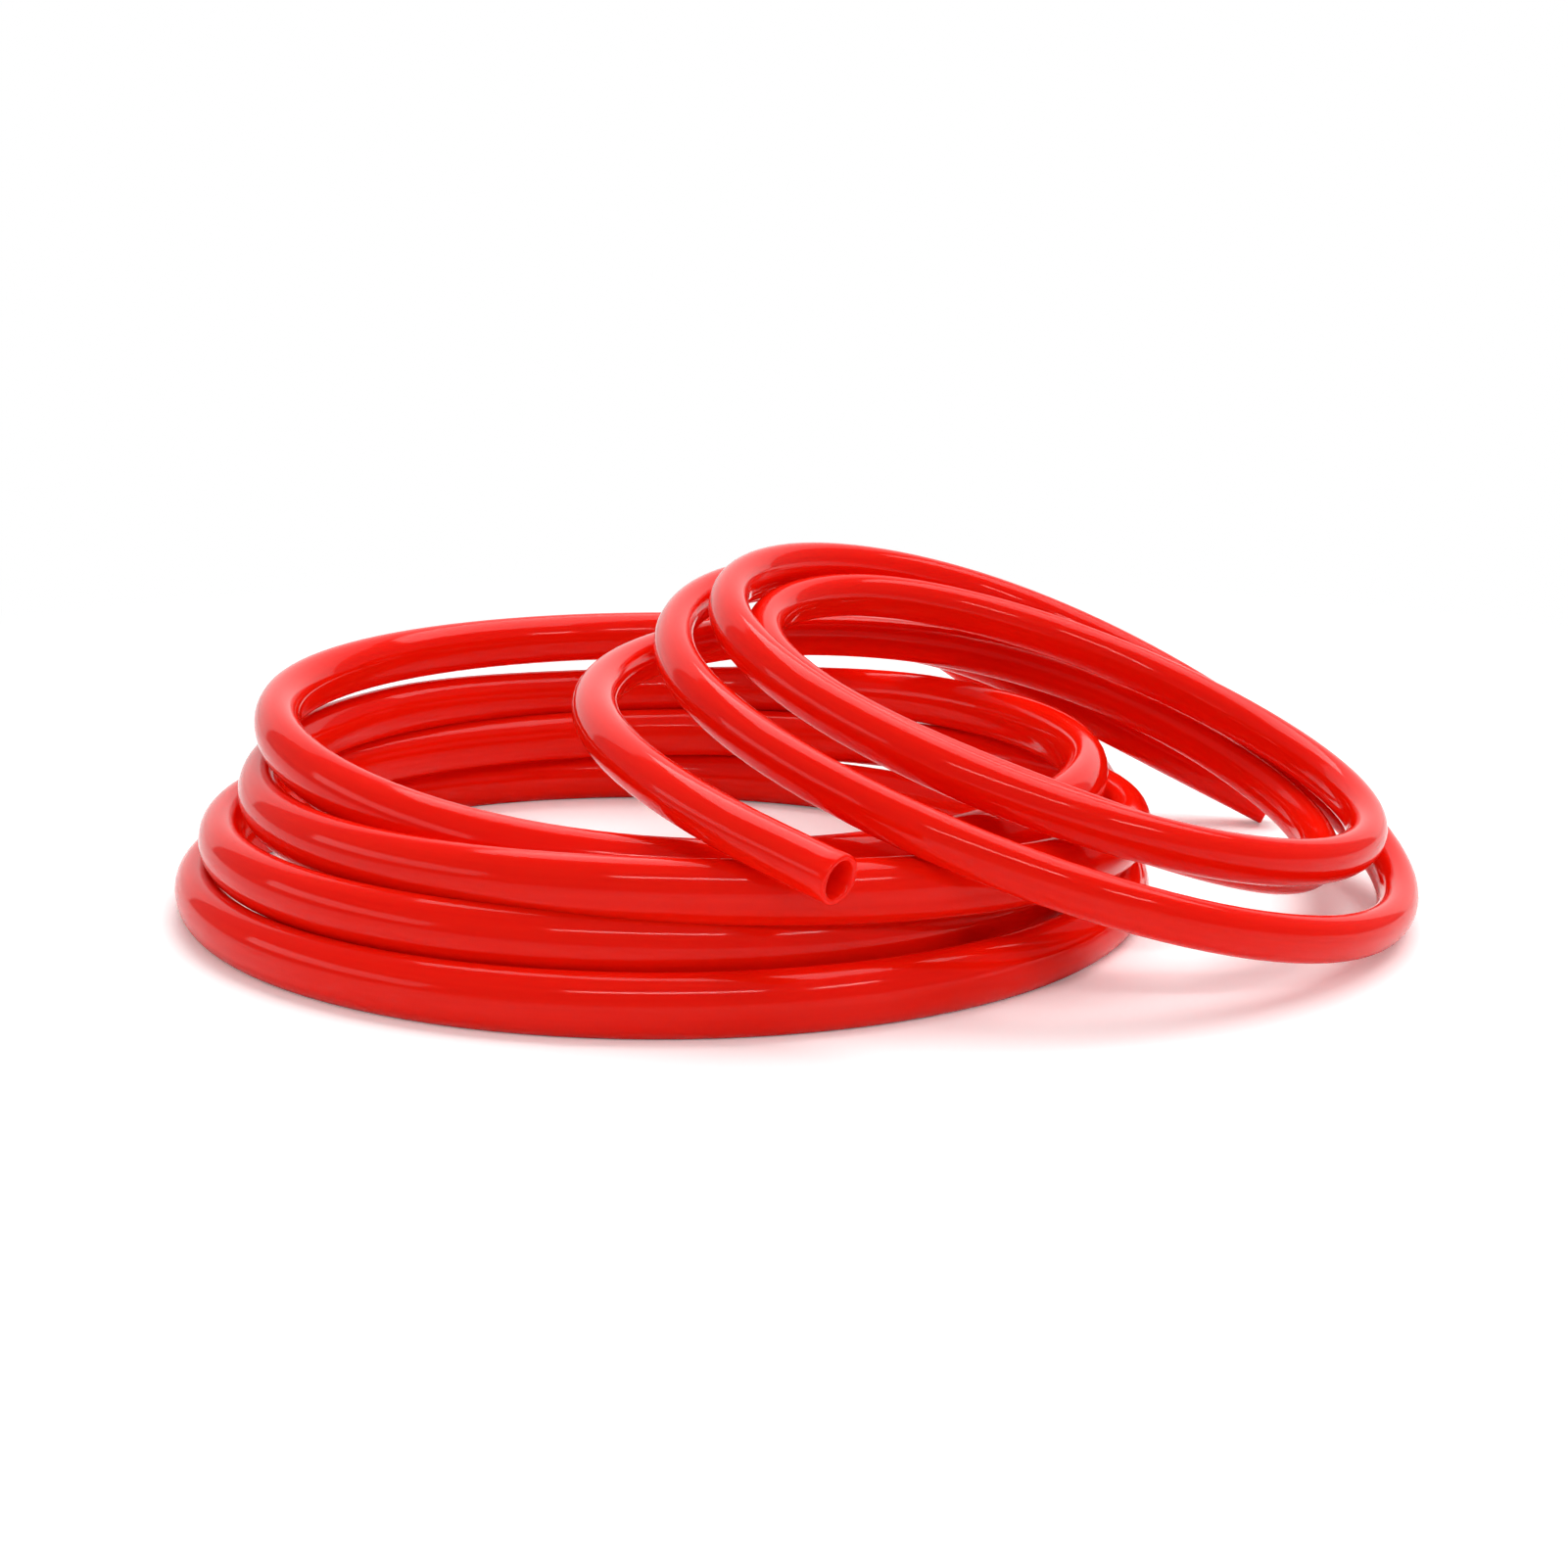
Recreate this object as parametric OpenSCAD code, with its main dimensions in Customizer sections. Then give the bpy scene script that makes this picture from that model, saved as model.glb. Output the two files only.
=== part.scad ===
// Coiled air hose: one length of plain round plastic tube with two cut ends.
// Four turns are stacked on the ground, and three smaller turns lean over them
// with one side on the ground. All units are millimetres, +Z is up.

/* [Hose] */
// Outside diameter of the hose
hose_od = 8; // [6.5:0.1:10]
// Thickness of the hose wall, so the bore is the outside less two walls
hose_wall = 1; // [0.6:0.1:1.5]
// Length of each plain straight cut end
end_len = 12; // [8:0.5:16]

/* [Coils] */
// Diameter of the bottom turn on the ground, between hose centrelines
coil_d = 152; // [126:1:184]
// Diameter of the leaning turns, between hose centrelines
lean_d = 120; // [100:1:144]
// Distance from the middle of the ground coil to the middle of the leaning one
lean_offset = 61; // [50:1:74]

/* [Show] */
// Which sub-part to draw

/* [Hidden] */
hose_id = hose_od - 2 * hose_wall;
coil_r = coil_d / 2;
lean_r = lean_d / 2;
// sides of the coiled hose, sides of its free stretches, and rings per quarter turn
coil_sides = 6;
free_sides = 8;
quarter_rings = 6;
// steps between two laid points of a free stretch
free_steps = 2;

// How the hose lies, one row per quarter turn: how far outside the coil's own
// radius it runs, and how high its centreline is, both in hose diameters.
// The ground coil's rows go right, front, left, back; lift is from the ground.
floor_lay = [
    [0.3, 0.4], [0, 0.4], [0, 0.4], [-0.9, 0.4],
    [-1.4, 0.5], [-0.4, 1.5], [-0.5, 1.4], [-1.7, 1.5],
    [0.9, 1.5], [-0.7, 2.6], [-1.9, 2.4], [-0.4, 2.6],
    [-0.2, 2.7], [-2.4, 2.3], [-2, 3.9], [-0.2, 3.6],
    [-0.5, 3.8]
];
// The leaning coil's rows go front, left, back, right; lift is off its own plane.
lean_lay = [
    [5.3, 0.9], [0.4, -2.4], [-0.8, 0.3], [-1.1, -0.3],
    [-1.6, 1.5], [-2.1, -0.1], [-1.7, 1.3], [-0.3, 1.2],
    [-0.5, 1.3], [-0.9, 0.7], [-0.3, 1.3], [0.1, 0],
    [2, 0.8], [-0.6, -0.4], [1, 0.8], [1.1, 1]
];
// Where along its rows each coil starts and stops, in quarter turns
lean_from = 0.32;
lean_to = 13.4;
floor_from = 0;
floor_to = 15.1;

// The leaning coil rests on the ground at its right and on the ground coil where
// it crosses the front, so its slope follows from the two heights. In diameters:
// how far out it crosses, the two heights, and how far it leans to the front.
cross_out = 1.2;
cross_high = 3.9;
ground_high = 0.5;
nod_high = 0.91;
cross_r = lean_r + cross_out * hose_od;
cross_x = (coil_r * coil_r - cross_r * cross_r + lean_offset * lean_offset) / (2 * lean_offset);
low_side = ground_high * hose_od;
high_side = cross_high * hose_od;
lean_tip = asin((high_side - low_side) / (lean_r + lean_offset - cross_x));
lean_nod = asin(nod_high * hose_od / lean_r);
lean_up = unit([sin(lean_tip), -sin(lean_nod), cos(lean_tip)]);
lean_side = unit(cross([0, 1, 0], lean_up));
lean_back = cross(lean_up, lean_side);

// The origin is on the ground under the middle of the whole hose. Behind, the
// hose reaches a little farther from the ground coil's middle than in front.
more_behind = 0.4;
floor_mid = [(coil_r - lean_offset - lean_r) / 2, -more_behind * hose_od, 0];
lean_mid = floor_mid + [lean_offset, 0, low_side + lean_r * sin(lean_tip)];

function unit(v) = v / norm(v);
function row(rows, i) = rows[min(max(i, 0), len(rows) - 1)];
function eased(a, b, c, d, t) =
    (pow(1 - t, 3) * a + (3 * pow(t, 3) - 6 * t * t + 4) * b
    + (-3 * pow(t, 3) + 3 * t * t + 3 * t + 1) * c + pow(t, 3) * d) / 6;
function lay(rows, u) =
    let(i = floor(u))
    eased(row(rows, i - 1), row(rows, i), row(rows, i + 1), row(rows, i + 2), u - i);

// A point of each coil from its turn count, its outward step and its lift
function floor_at(u, out, lift) =
    let(r = coil_r + out * hose_od)
    floor_mid + [r * cos(-90 * u), r * sin(-90 * u), lift * hose_od];
function lean_at(u, out, lift) =
    let(r = lean_r + out * hose_od)
    lean_mid + r * cos(-90 - 90 * u) * lean_side + r * sin(-90 - 90 * u) * lean_back
    + lift * hose_od * lean_up;
function coil_at(leaning, u) =
    let(s = lay(leaning ? lean_lay : floor_lay, u))
    leaning ? lean_at(u, s[0], s[1]) : floor_at(u, s[0], s[1]);
function coil_way(leaning, u) = unit(coil_at(leaning, u + 0.01) - coil_at(leaning, u - 0.01));

// A coil's centreline, straight for one diameter at each end
function coil_path(leaning, u0, u1) =
    let(n = round((u1 - u0) * quarter_rings), p0 = coil_at(leaning, u0), p1 = coil_at(leaning, u1))
    concat(
        [p0, p0 + coil_way(leaning, u0) * hose_od],
        [for (i = [1 : n - 1]) coil_at(leaning, u0 + (u1 - u0) * i / n)],
        [p1 - coil_way(leaning, u1) * hose_od, p1]
    );

// A free stretch: straight for one diameter at each end, and in between a smooth
// line through the laid points
function smooth(a, b, c, d, t) =
    0.5 * (2 * b + (c - a) * t + (2 * a - 5 * b + 4 * c - d) * t * t
    + (3 * b - a - 3 * c + d) * pow(t, 3));
function free_path(pts) =
    let(last = len(pts) - 1)
    concat(
        [pts[0]],
        [for (i = [1 : last - 2]) for (k = [0 : free_steps - 1])
            smooth(pts[i - 1], pts[i], pts[i + 1], pts[i + 2], k / free_steps)],
        [pts[last - 1], pts[last]]
    );

lean_path = coil_path(true, lean_from, lean_to);
floor_path = coil_path(false, floor_from, floor_to);
open_way = -coil_way(true, lean_from);
lean_end = coil_at(true, lean_to);
floor_start = coil_at(false, floor_from);
floor_end = coil_at(false, floor_to);
crossover_path = free_path([
    lean_end,
    lean_end + coil_way(true, lean_to) * hose_od,
    floor_at(-0.75, 0.6, 4.9),
    floor_at(-0.68, 3.1, 3.6),
    floor_at(-0.58, 4.1, 2.1),
    floor_at(-0.47, 3.8, 1),
    floor_at(-0.35, 2.6, 0.4),
    floor_at(-0.2, 0.7, 0.6),
    floor_start - coil_way(false, floor_from) * hose_od,
    floor_start
]);
// The far end leans down until the lip of its mouth is on the ground.
far_way = unit([0.87, -0.27, -0.41]);
far_lip = floor_at(-0.26, 5.8, norm([far_way[0], far_way[1]]) / 2);
far_mouth = far_lip - end_len * far_way;
far_path = free_path([
    floor_end,
    floor_end + coil_way(false, floor_to) * hose_od,
    floor_at(-0.7, 0.2, 3.9),
    floor_at(-0.58, 1, 3.7),
    floor_at(-0.49, 1.9, 3.2),
    floor_at(-0.4, 3, 2.3),
    far_mouth - far_way * hose_od,
    far_mouth
]);

// Rings of corners square to a path. The sides are turned flat side down.
function way_at(path, i) =
    let(last = len(path) - 1)
    i == 0 ? unit(path[1] - path[0])
    : i == last ? unit(path[last] - path[last - 1])
    : unit(unit(path[i + 1] - path[i]) + unit(path[i] - path[i - 1]));
function ring(path, i, up, r, sides) =
    let(way = way_at(path, i), side = unit(cross(way, up)), top = cross(side, way))
    [for (k = [0 : sides - 1])
        let(a = 360 * (k + 0.5) / sides + 90, p = path[i] + r * cos(a) * side + r * sin(a) * top)
        [p[0], p[1], max(p[2], 0)]];

// A tube with a bore, made of triangles: outer wall, inner wall and two end faces
module tube(path, ups, sides) {
    n = len(path);
    function up_at(i) = ups[0] + (ups[1] - ups[0]) * i / (n - 1);
    outer = [for (i = [0 : n - 1]) each ring(path, i, up_at(i), hose_od / 2, sides)];
    inner = [for (i = [0 : n - 1]) each ring(path, i, up_at(i), hose_id / 2, sides)];
    shift = n * sides;
    walls = [for (i = [0 : n - 2]) for (k = [0 : sides - 1])
        let(a = i * sides + k, b = i * sides + (k + 1) % sides)
        each [
            [a, b, b + sides], [a, b + sides, a + sides],
            [shift + a, shift + b + sides, shift + b], [shift + a, shift + a + sides, shift + b + sides]
        ]];
    start = [for (k = [0 : sides - 1])
        let(j = (k + 1) % sides)
        each [[k, shift + k, shift + j], [k, shift + j, j]]];
    stop_at = (n - 1) * sides;
    finish = [for (k = [0 : sides - 1])
        let(j = (k + 1) % sides, a = stop_at + k, b = stop_at + j)
        each [[a, b, shift + b], [a, shift + b, shift + a]]];
    polyhedron(concat(outer, inner), concat(walls, start, finish), convexity = 12);
}

// A plain round cut end from its inner end and the way its mouth faces
module cut_end(inner_end, way) {
    translate(inner_end)
        rotate([0, acos(way[2]), atan2(way[1], way[0])])
            difference() {
                cylinder(h = end_len, d = hose_od, $fn = 48);
                translate([0, 0, -1])
                    cylinder(h = end_len + 2, d = hose_id, $fn = 48);
            }
}

module open_end() {
    color([0.86, 0.08, 0.03]) cut_end(lean_path[0], open_way);
}

module leaning_coil() {
    color([0.86, 0.08, 0.03]) tube(lean_path, [lean_up, lean_up], coil_sides);
}

module crossover() {
    color([0.86, 0.08, 0.03]) tube(crossover_path, [lean_up, [0, 0, 1]], free_sides);
}

module floor_coil() {
    color([0.86, 0.08, 0.03]) tube(floor_path, [[0, 0, 1], [0, 0, 1]], coil_sides);
}

module far_stretch() {
    color([0.86, 0.08, 0.03]) tube(far_path, [[0, 0, 1], [0, 0, 1]], free_sides);
}

module far_end() {
    color([0.86, 0.08, 0.03]) cut_end(far_mouth, far_way);
}

// The least gap between the turns of one coil, from points three to a ring:
// every point against every later one that is more than four diameters along.
function coil_gap(leaning, u0, u1) =
    let(n = round((u1 - u0) * quarter_rings * 2), p = [for (i = [0 : n]) coil_at(leaning, u0 + (u1 - u0) * i / n)],
        skip = ceil(4 * hose_od / norm(p[1] - p[0])))
    min([for (i = [0 : n - skip]) for (j = [i + skip : n]) norm(p[i] - p[j])]) - hose_od;
function path_len(p) = len(p) < 2 ? 0 : norm(p[1] - p[0]) + path_len([for (i = [1 : len(p) - 1]) p[i]]);

echo("least gap between the ground coil's turns, mm", coil_gap(false, floor_from, floor_to));
echo("least gap between the leaning coil's turns, mm", coil_gap(true, lean_from, lean_to));
echo("hose length, mm", path_len(lean_path) + path_len(floor_path) + path_len(crossover_path)
    + path_len(far_path) + 2 * end_len);
echo("slope of the leaning coil, degrees", lean_tip, lean_nod);

open_end();
leaning_coil();
crossover();
floor_coil();
far_stretch();
far_end();
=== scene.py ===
from math import asin, cos, floor, pi, radians, sin

import bpy
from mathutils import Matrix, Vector


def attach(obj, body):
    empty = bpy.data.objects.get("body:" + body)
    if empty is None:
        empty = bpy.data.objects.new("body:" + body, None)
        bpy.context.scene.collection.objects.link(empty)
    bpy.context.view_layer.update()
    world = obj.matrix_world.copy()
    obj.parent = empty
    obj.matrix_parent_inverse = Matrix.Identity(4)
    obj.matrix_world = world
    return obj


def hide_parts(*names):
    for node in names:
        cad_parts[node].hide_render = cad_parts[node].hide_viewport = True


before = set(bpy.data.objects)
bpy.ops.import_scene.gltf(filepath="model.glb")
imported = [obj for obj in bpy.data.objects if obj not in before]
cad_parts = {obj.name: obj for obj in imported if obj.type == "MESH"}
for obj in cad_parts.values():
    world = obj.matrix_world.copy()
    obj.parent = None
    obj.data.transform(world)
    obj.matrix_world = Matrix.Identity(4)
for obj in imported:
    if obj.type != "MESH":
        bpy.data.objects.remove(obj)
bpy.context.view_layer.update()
bpy.ops.object.select_all(action="DESELECT")

# The camera stands in front of the coil at a low angle, as someone would who
# looks along a table at it. Its lens is slightly off the middle of the frame.
image_side = 1601
camera_height = 0.1368
camera_tilt = 15.5
focal_pixels = 3130
film_width = 36
bpy.ops.object.camera_add(
    location=(-0.0225, -0.4966, camera_height),
    rotation=(radians(90 - camera_tilt), 0, 0),
)
camera = bpy.context.object
camera.name = "camera"
camera.data.sensor_width = film_width
camera.data.lens = film_width * focal_pixels / image_side
camera.data.shift_x = 0.0834
camera.data.shift_y = 0.0709
camera.data.clip_start = 0.01
camera.data.clip_end = 20
bpy.context.scene.camera = camera

# The hose: one length of extruded plastic tube, 8 mm outside and 6 mm inside,
# cut square at both ends. It keeps the coils that it was wound into, and lies
# under its own weight, so its section is pressed slightly oval in the turns.
hose_od = 0.008
hose_wall = 0.001
end_len = 0.012
coil_r = 0.076
lean_r = 0.060
lean_offset = 0.061

# One row per quarter turn: how far outside its coil's radius the hose runs, and
# how high, in hose diameters. The ground coil's rows go right, front, left, back.
floor_lay = [
    (0.3, 0.4), (0, 0.4), (0, 0.4), (-0.9, 0.4),
    (-1.4, 0.5), (-0.4, 1.5), (-0.5, 1.4), (-1.7, 1.5),
    (0.9, 1.5), (-0.7, 2.6), (-1.9, 2.4), (-0.4, 2.6),
    (-0.2, 2.7), (-2.4, 2.3), (-2, 3.9), (-0.2, 3.6),
    (-0.5, 3.8),
]
# The leaning coil's rows go front, left, back, right, and rise off its own plane.
lean_lay = [
    (5.3, 0.9), (0.4, -2.4), (-0.8, 0.3), (-1.1, -0.3),
    (-1.6, 1.5), (-2.1, -0.1), (-1.7, 1.3), (-0.3, 1.2),
    (-0.5, 1.3), (-0.9, 0.7), (-0.3, 1.3), (0.1, 0),
    (2, 0.8), (-0.6, -0.4), (1, 0.8), (1.1, 1),
]
lean_from, lean_to = 0.32, 13.4
floor_from, floor_to = 0, 15.1

# Where single turns settle: the place in quarter turns, how far to either side of it
# the hose gives way, and by how much, in hose diameters.
floor_sags = [(9.6, 0.8, 0.2), (11, 0.5, 0.2), (13, 1, 0.25)]
lean_spreads = [(2.5, 0.9, 0.3), (5.35, 0.7, 0.45)]
lean_sags = [(6.4, 0.9, 0.25)]

# The leaning coil's slope follows from where it stands on the ground at its right
# and where it lies on the ground coil as it crosses the front. In hose diameters:
ground_high = 0.5
cross_out = 1.2
cross_high = 3.9
nod_high = 0.91
more_behind = 0.4
cross_r = lean_r + cross_out * hose_od
cross_x = (coil_r ** 2 - cross_r ** 2 + lean_offset ** 2) / (2 * lean_offset)
low_side = ground_high * hose_od
high_side = cross_high * hose_od
lean_tip = asin((high_side - low_side) / (lean_r + lean_offset - cross_x))
lean_nod = asin(nod_high * hose_od / lean_r)
ground_up = Vector((0, 0, 1))
lean_up = Vector((sin(lean_tip), -sin(lean_nod), cos(lean_tip))).normalized()
lean_side = Vector((0, 1, 0)).cross(lean_up).normalized()
lean_back = lean_up.cross(lean_side)
floor_mid = Vector(((coil_r - lean_offset - lean_r) / 2, -more_behind * hose_od, 0))
lean_mid = floor_mid + Vector((lean_offset, 0, low_side + lean_r * sin(lean_tip)))


def eased(rows, u):
    """The outward step and the lift between the rows, at u quarter turns."""
    i = floor(u)
    t = u - i
    weights = (
        (1 - t) ** 3 / 6,
        (3 * t ** 3 - 6 * t * t + 4) / 6,
        (-3 * t ** 3 + 3 * t * t + 3 * t + 1) / 6,
        t ** 3 / 6,
    )
    near = [rows[min(max(i + k, 0), len(rows) - 1)] for k in (-1, 0, 1, 2)]
    return [sum(w * row[axis] for w, row in zip(weights, near)) for axis in (0, 1)]


def settled(rows, u):
    """How far the hose gives way at u: a smooth dip round each of the rows' places."""
    return sum(
        depth * max(0, 1 - ((u - middle) / reach) ** 2) ** 2
        for middle, reach, depth in rows
    )


def floor_at(u, out, lift):
    r = coil_r + out * hose_od
    turn = -u * pi / 2
    return floor_mid + Vector((r * cos(turn), r * sin(turn), lift * hose_od))


def lean_at(u, out, lift):
    r = lean_r + out * hose_od
    turn = -(u + 1) * pi / 2
    return (
        lean_mid + r * cos(turn) * lean_side + r * sin(turn) * lean_back
        + lift * hose_od * lean_up
    )


def floor_turn(u):
    return floor_at(u, *eased(floor_lay, u))


def lean_turn(u):
    out, lift = eased(lean_lay, u)
    return lean_at(u, out + settled(lean_spreads, u), lift - settled(lean_sags, u))


def heading(turn, u):
    """The way that the hose runs at u, taken over a short step."""
    step = 0.01
    return (turn(u + step) - turn(u - step)).normalized()


def between(a, b, steps):
    return [a + (b - a) * k / steps for k in range(steps)]


bend_steps = 8
joint_steps = 3
easing_rounds = 16


def bent(points):
    """A smooth line through a free stretch's points, with every bend eased."""
    line = between(points[0], points[1], joint_steps)
    for a, b, c, d in zip(points, points[1:], points[2:], points[3:]):
        for k in range(bend_steps):
            t = k / bend_steps
            line.append(0.5 * (
                2 * b + (c - a) * t + (2 * a - 5 * b + 4 * c - d) * t * t
                + (3 * b - a - 3 * c + d) * t ** 3
            ))
    line += between(points[-2], points[-1], joint_steps) + [points[-1]]
    for _ in range(easing_rounds):
        inner = [(a + 2 * b + c) / 4 for a, b, c in zip(line, line[1:], line[2:])]
        line = line[:1] + inner + line[-1:]
    return line


lean_rings = 348
floor_rings = 392
end_rings = 6
lean_line = [
    lean_turn(lean_from + (lean_to - lean_from) * k / lean_rings)
    for k in range(lean_rings + 1)
]
floor_line = [
    floor_turn(floor_from + (floor_to - floor_from) * k / floor_rings)
    for k in range(floor_rings + 1)
]
open_way = -heading(lean_turn, lean_from)
open_line = between(lean_line[0] + open_way * end_len, lean_line[0], end_rings)
lean_way = heading(lean_turn, lean_to)
floor_way = heading(floor_turn, floor_from)
crossover_line = bent([
    lean_line[-1],
    lean_line[-1] + lean_way * hose_od,
    floor_at(-0.75, 0.6, 4.9),
    floor_at(-0.68, 3.1, 3.6),
    floor_at(-0.58, 4.1, 2.1),
    floor_at(-0.47, 3.8, 1),
    floor_at(-0.35, 2.6, 0.4),
    floor_at(-0.2, 0.7, 0.6),
    floor_line[0] - floor_way * hose_od,
    floor_line[0],
])
# The far end leans down until the lip of its mouth is on the ground.
far_way = Vector((0.87, -0.27, -0.41)).normalized()
far_lip = floor_at(-0.26, 5.8, far_way.xy.length / 2)
far_mouth = far_lip - end_len * far_way
far_line = bent([
    floor_line[-1],
    floor_line[-1] + heading(floor_turn, floor_to) * hose_od,
    floor_at(-0.7, 0.2, 3.9),
    floor_at(-0.58, 1, 3.7),
    floor_at(-0.49, 1.9, 3.2),
    floor_at(-0.4, 3, 2.3),
    far_mouth - far_way * hose_od,
    far_mouth,
])
far_end_line = between(far_mouth, far_lip, end_rings) + [far_lip]

# The turns on the ground stand a little taller at the front than at the back. Sizes
# are in hose diameters, and seat_high is from the underside to the path.
floor_half_width = 0.47
floor_half_height = 0.58
front_taller = 0.035
seat_high = 0.42


def floor_seat(k):
    """The up direction, the section and the lift of one ring of the ground coil."""
    u = floor_from + (floor_to - floor_from) * k / floor_rings
    half_height = floor_half_height + front_taller * sin(u * pi / 2)
    lift = half_height - seat_high - settled(floor_sags, u)
    return ground_up, (floor_half_width, half_height), lift


# The same three for the other stretches. A section is the half width across the coil
# and the half height: the cut ends are round, and the leaning turns are narrower.
open_seat = (lean_up, (0.48, 0.48), 0.15)
lean_seat = (lean_up, (0.40, 0.47), 0.15)
far_seat = (ground_up, (0.48, 0.48), -0.02)
squeeze_rings = 40
hose_path = []
hose_ups = []
hose_sections = []


def lay_ring(point, up, section, lift):
    hose_path.append(point + Vector((0, 0, lift * hose_od)))
    hose_ups.append(up)
    hose_sections.append(section)


def lay_stretch(line, start_seat, stop_seat):
    """Lays a stretch that eases over from one seat to the other."""
    start_up, start_section, start_lift = start_seat
    stop_up, stop_section, stop_lift = stop_seat
    for k, point in enumerate(line):
        t = k / max(len(line) - 1, 1)
        t = t * t * (3 - 2 * t)
        section = [a + (b - a) * t for a, b in zip(start_section, stop_section)]
        lift = start_lift + (stop_lift - start_lift) * t
        lay_ring(point, start_up + (stop_up - start_up) * t, section, lift)


lay_stretch(open_line, open_seat, open_seat)
lay_stretch(lean_line[:squeeze_rings], open_seat, lean_seat)
lay_stretch(lean_line[squeeze_rings:-1], lean_seat, lean_seat)
lay_stretch(crossover_line[:-1], lean_seat, floor_seat(0))
for ring, point in enumerate(floor_line[:-1]):
    lay_ring(point, *floor_seat(ring))
lay_stretch(far_line[:-1], floor_seat(floor_rings), far_seat)
lay_stretch(far_end_line, far_seat, far_seat)

# The wall is one ring of corners after another: along the outside, round the small
# bevel at the far mouth, back through the bore, and round the open mouth's bevel.
hose_sides = 32
rim = 0.03


def section_ring(i, inset, along):
    """A ring of the hose's wall, inset from its outside by that many diameters."""
    before = hose_path[max(i - 1, 0)]
    after = hose_path[min(i + 1, len(hose_path) - 1)]
    way = (after - before).normalized()
    across = way.cross(hose_ups[i]).normalized()
    up = across.cross(way)
    half_w, half_h = [(half - inset) * hose_od for half in hose_sections[i]]
    middle = hose_path[i] + way * along * hose_od
    return [
        middle + half_w * cos(a) * across + half_h * sin(a) * up
        for a in (2 * pi * k / hose_sides for k in range(hose_sides))
    ]


wall = hose_wall / hose_od
last = len(hose_path) - 1
rings = [section_ring(0, wall / 2, 0), section_ring(0, rim, 0), section_ring(0, 0, rim)]
rings += [section_ring(i, 0, 0) for i in range(1, last)]
rings += [section_ring(last, 0, -rim), section_ring(last, rim, 0)]
rings += [section_ring(last, wall / 2, 0)]
rings += [section_ring(last, wall - rim, 0), section_ring(last, wall, -rim)]
rings += [section_ring(i, wall, 0) for i in range(last - 1, 0, -1)]
rings += [section_ring(0, wall, rim), section_ring(0, wall - rim, 0)]
corners = [corner for ring in rings for corner in ring]
faces = []
for i in range(len(rings)):
    near = i * hose_sides
    far = (i + 1) % len(rings) * hose_sides
    for k in range(hose_sides):
        n = (k + 1) % hose_sides
        faces.append((near + k, near + n, far + n, far + k))
hose_mesh = bpy.data.meshes.new("hose")
hose_mesh.from_pydata([tuple(c) for c in corners], [], faces)
hose = bpy.data.objects.new("hose", hose_mesh)
bpy.context.scene.collection.objects.link(hose)

# The way along the hose and round it, as its surface's own coordinates in metres.
run = [0.0]
for a, b in zip(rings, rings[1:] + rings[:1]):
    run.append(run[-1] + (b[0] - a[0]).length)
uv = hose_mesh.uv_layers.new(name="along")
for face in hose_mesh.polygons:
    i, k = divmod(face.index, hose_sides)
    corner_uv = [(run[i], k), (run[i], k + 1), (run[i + 1], k + 1), (run[i + 1], k)]
    for loop, (u, v) in zip(face.loop_indices, corner_uv):
        uv.data[loop].uv = (u, v / hose_sides * pi * hose_od)
hose_mesh.polygons.foreach_set("use_smooth", [True] * len(hose_mesh.polygons))
bpy.context.view_layer.objects.active = hose
hose.select_set(True)
bpy.ops.object.mode_set(mode="EDIT")
bpy.ops.mesh.select_all(action="SELECT")
bpy.ops.mesh.normals_make_consistent(inside=False)
bpy.ops.object.mode_set(mode="OBJECT")
hose.select_set(False)

# Red polyurethane: gloss from the extruder's die, light carried some way through the
# wall, and faint streaks along the hose that the die leaves.
plastic = bpy.data.materials.new("red_plastic")
plastic.use_nodes = True
nodes = plastic.node_tree.nodes
links = plastic.node_tree.links
skin = nodes["Principled BSDF"]
skin.inputs["Roughness"].default_value = 0.08
skin.inputs["IOR"].default_value = 1.5
skin.inputs["Specular IOR Level"].default_value = 0.15
skin.inputs["Subsurface Weight"].default_value = 0.5
skin.inputs["Subsurface Radius"].default_value = (1.0, 0.08, 0.04)
skin.inputs["Subsurface Scale"].default_value = 0.004
along = nodes.new("ShaderNodeUVMap")
along.uv_map = "along"
stretch = nodes.new("ShaderNodeMapping")
stretch.inputs["Scale"].default_value = (14, 900, 1)
streaks = nodes.new("ShaderNodeTexNoise")
streaks.inputs["Scale"].default_value = 1.0
streaks.inputs["Detail"].default_value = 3.0
reds = nodes.new("ShaderNodeValToRGB")
reds.color_ramp.elements[0].position = 0.3
reds.color_ramp.elements[0].color = (0.88, 0.006, 0.001, 1)
reds.color_ramp.elements[1].position = 0.7
reds.color_ramp.elements[1].color = (0.93, 0.009, 0.002, 1)
links.new(along.outputs["UV"], stretch.inputs["Vector"])
links.new(stretch.outputs["Vector"], streaks.inputs["Vector"])
links.new(streaks.outputs["Fac"], reds.inputs["Fac"])
links.new(reds.outputs["Color"], skin.inputs["Base Color"])
hose_mesh.materials.append(plastic)
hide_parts("open_end", "leaning_coil", "crossover", "floor_coil", "far_stretch", "far_end")
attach(hose, "root")

# The table: a plain white sheet. The camera sees it a little brighter than it is lit,
# and seen by the camera or in a gloss it goes over to pure white a hand's width away
# from the hose.
bpy.ops.mesh.primitive_plane_add(size=1.6, location=(0, 0.3, 0))
table = bpy.context.object
table.name = "table"
bpy.ops.object.transform_apply(location=True)


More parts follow.
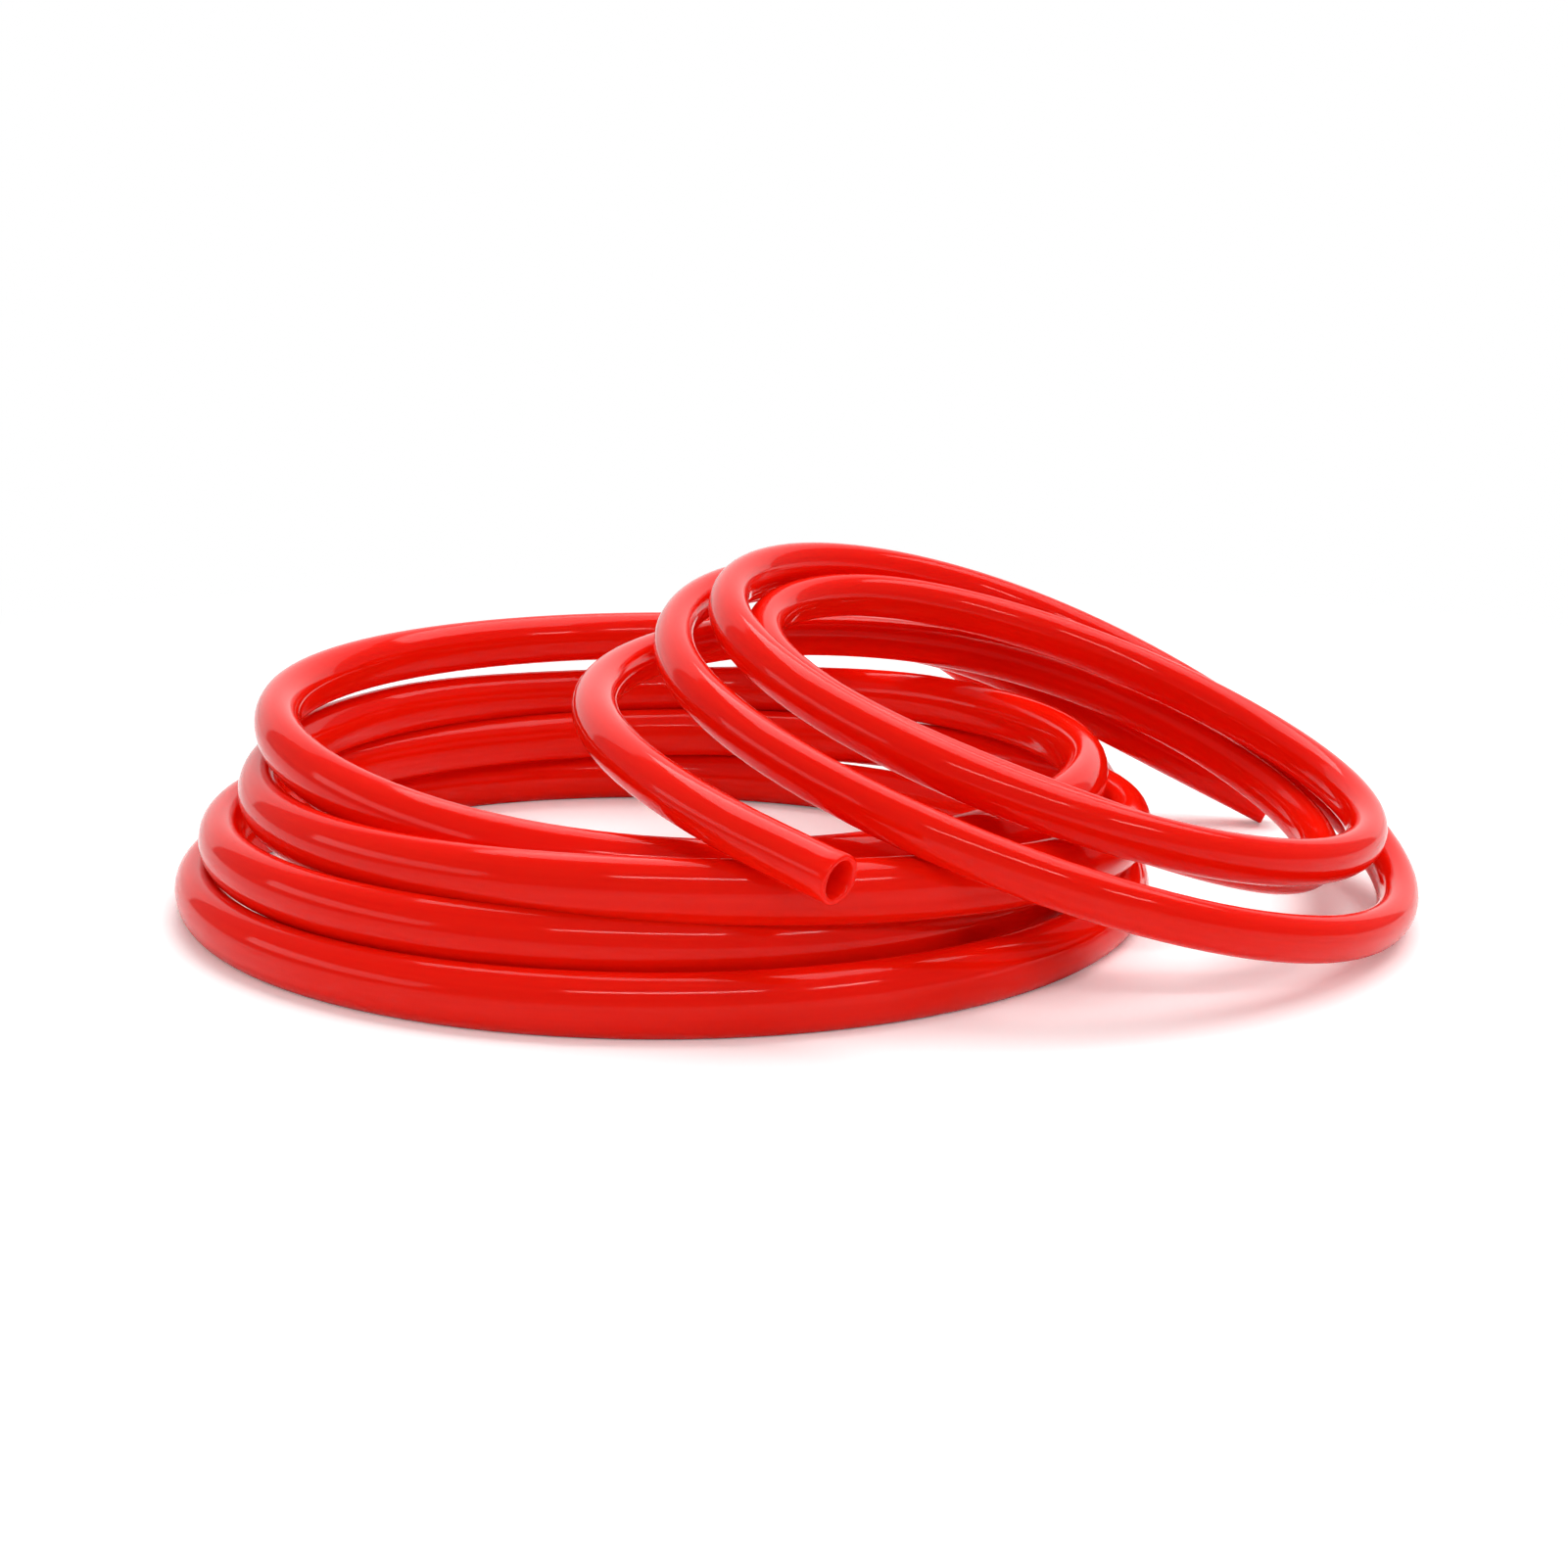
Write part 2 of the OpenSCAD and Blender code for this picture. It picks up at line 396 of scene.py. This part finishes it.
def shown_ray(nodes, links, rays):
    """1 for a ray from the camera, off a gloss or through glass, and 0 otherwise."""
    in_gloss = nodes.new("ShaderNodeMath")
    in_gloss.operation = "MAXIMUM"
    in_glass = nodes.new("ShaderNodeMath")
    in_glass.operation = "MAXIMUM"
    links.new(rays.outputs["Is Camera Ray"], in_gloss.inputs[0])
    links.new(rays.outputs["Is Glossy Ray"], in_gloss.inputs[1])
    links.new(in_gloss.outputs[0], in_glass.inputs[0])
    links.new(rays.outputs["Is Transmission Ray"], in_glass.inputs[1])
    return in_glass.outputs[0]


paper = bpy.data.materials.new("white_paper")
paper.use_nodes = True
nodes = paper.node_tree.nodes
links = paper.node_tree.links
sheet = nodes["Principled BSDF"]
sheet.inputs["Base Color"].default_value = (0.93, 0.93, 0.93, 1)
sheet.inputs["Roughness"].default_value = 0.5
sheet.inputs["Specular IOR Level"].default_value = 0.2
rays = nodes.new("ShaderNodeLightPath")
lift = nodes.new("ShaderNodeEmission")
lift.inputs["Strength"].default_value = 0.18
lift_seen = nodes.new("ShaderNodeMixShader")
links.new(rays.outputs["Is Camera Ray"], lift_seen.inputs["Fac"])
links.new(lift.outputs["Emission"], lift_seen.inputs[2])
lit = nodes.new("ShaderNodeAddShader")
links.new(sheet.outputs["BSDF"], lit.inputs[0])
links.new(lift_seen.outputs["Shader"], lit.inputs[1])
place = nodes.new("ShaderNodeTexCoord")
away = nodes.new("ShaderNodeVectorMath")
away.operation = "LENGTH"
links.new(place.outputs["Object"], away.inputs[0])
fade = nodes.new("ShaderNodeMapRange")
fade.interpolation_type = "SMOOTHSTEP"
fade.inputs["From Min"].default_value = 0.13
fade.inputs["From Max"].default_value = 0.32
links.new(away.outputs["Value"], fade.inputs["Value"])
whiteness = nodes.new("ShaderNodeMath")
whiteness.operation = "MULTIPLY"
links.new(shown_ray(nodes, links, rays), whiteness.inputs[0])
links.new(fade.outputs["Result"], whiteness.inputs[1])
glow = nodes.new("ShaderNodeEmission")
glow.inputs["Strength"].default_value = 1
blend = nodes.new("ShaderNodeMixShader")
links.new(whiteness.outputs[0], blend.inputs["Fac"])
links.new(lit.outputs["Shader"], blend.inputs[1])
links.new(glow.outputs["Emission"], blend.inputs[2])
links.new(blend.outputs["Shader"], nodes["Material Output"].inputs["Surface"])
table.data.materials.append(paper)

# The backdrop: a paper roll as wide as a studio's, hung up behind the table. It is
# white to the camera and in a gloss.
bpy.ops.mesh.primitive_plane_add(size=1, location=(0.1, 1.9, 1.0), rotation=(radians(90), 0, 0))
backdrop = bpy.context.object
backdrop.name = "backdrop"
backdrop.scale = (3.6, 2.0, 1)
bpy.ops.object.transform_apply(location=True, rotation=True, scale=True)
roll = bpy.data.materials.new("white_roll")
roll.use_nodes = True
nodes = roll.node_tree.nodes
links = roll.node_tree.links
sheet = nodes["Principled BSDF"]
sheet.inputs["Base Color"].default_value = (0.93, 0.93, 0.93, 1)
sheet.inputs["Roughness"].default_value = 0.8
glow = nodes.new("ShaderNodeEmission")
glow.inputs["Strength"].default_value = 1
blend = nodes.new("ShaderNodeMixShader")
rays = nodes.new("ShaderNodeLightPath")
links.new(shown_ray(nodes, links, rays), blend.inputs["Fac"])
links.new(sheet.outputs["BSDF"], blend.inputs[1])
links.new(glow.outputs["Emission"], blend.inputs[2])
links.new(blend.outputs["Shader"], nodes["Material Output"].inputs["Surface"])
backdrop.data.materials.append(roll)

# The room: white to the camera, and a dimmer light all round for everything else.
world = bpy.data.worlds.new("room")
bpy.context.scene.world = world
world.use_nodes = True
nodes = world.node_tree.nodes
links = world.node_tree.links
room = nodes["Background"]
room.inputs["Color"].default_value = (1, 1, 1, 1)
room.inputs["Strength"].default_value = 0.3
white = nodes.new("ShaderNodeBackground")
white.inputs["Color"].default_value = (1, 1, 1, 1)
white.inputs["Strength"].default_value = 1
rays = nodes.new("ShaderNodeLightPath")
blend = nodes.new("ShaderNodeMixShader")
links.new(rays.outputs["Is Camera Ray"], blend.inputs["Fac"])
links.new(room.outputs["Background"], blend.inputs[1])
links.new(white.outputs["Background"], blend.inputs[2])
links.new(blend.outputs["Shader"], nodes["World Output"].inputs["Surface"])

# Studio lamps: a wide one overhead, a dim one low at the left, and a strip in two
# lengths in front that draws the thin lines along the front of the turns. Each has
# its place, width and height in metres, and its power in watts.
for name, place, width, height, watts in (
    ("top_lamp", (0.3, 0.5, 1.5), 2.0, 1.4, 31),
    ("left_lamp", (-1.9, -0.35, 0.5), 2.0, 0.4, 5),
    ("long_strip", (0.02, -1.3, 1.05), 1.15, 0.1, 6),
    ("short_strip", (0.97, -1.02, 0.85), 0.4, 0.1, 2),
):
    bpy.ops.object.light_add(type="AREA", location=place)
    lamp = bpy.context.object
    lamp.name = name
    lamp.data.shape = "RECTANGLE"
    lamp.data.size = width
    lamp.data.size_y = height
    lamp.data.energy = watts
    lamp.rotation_euler = (-lamp.location).to_track_quat("-Z", "Y").to_euler()

bpy.context.scene.view_settings.view_transform = "Standard"
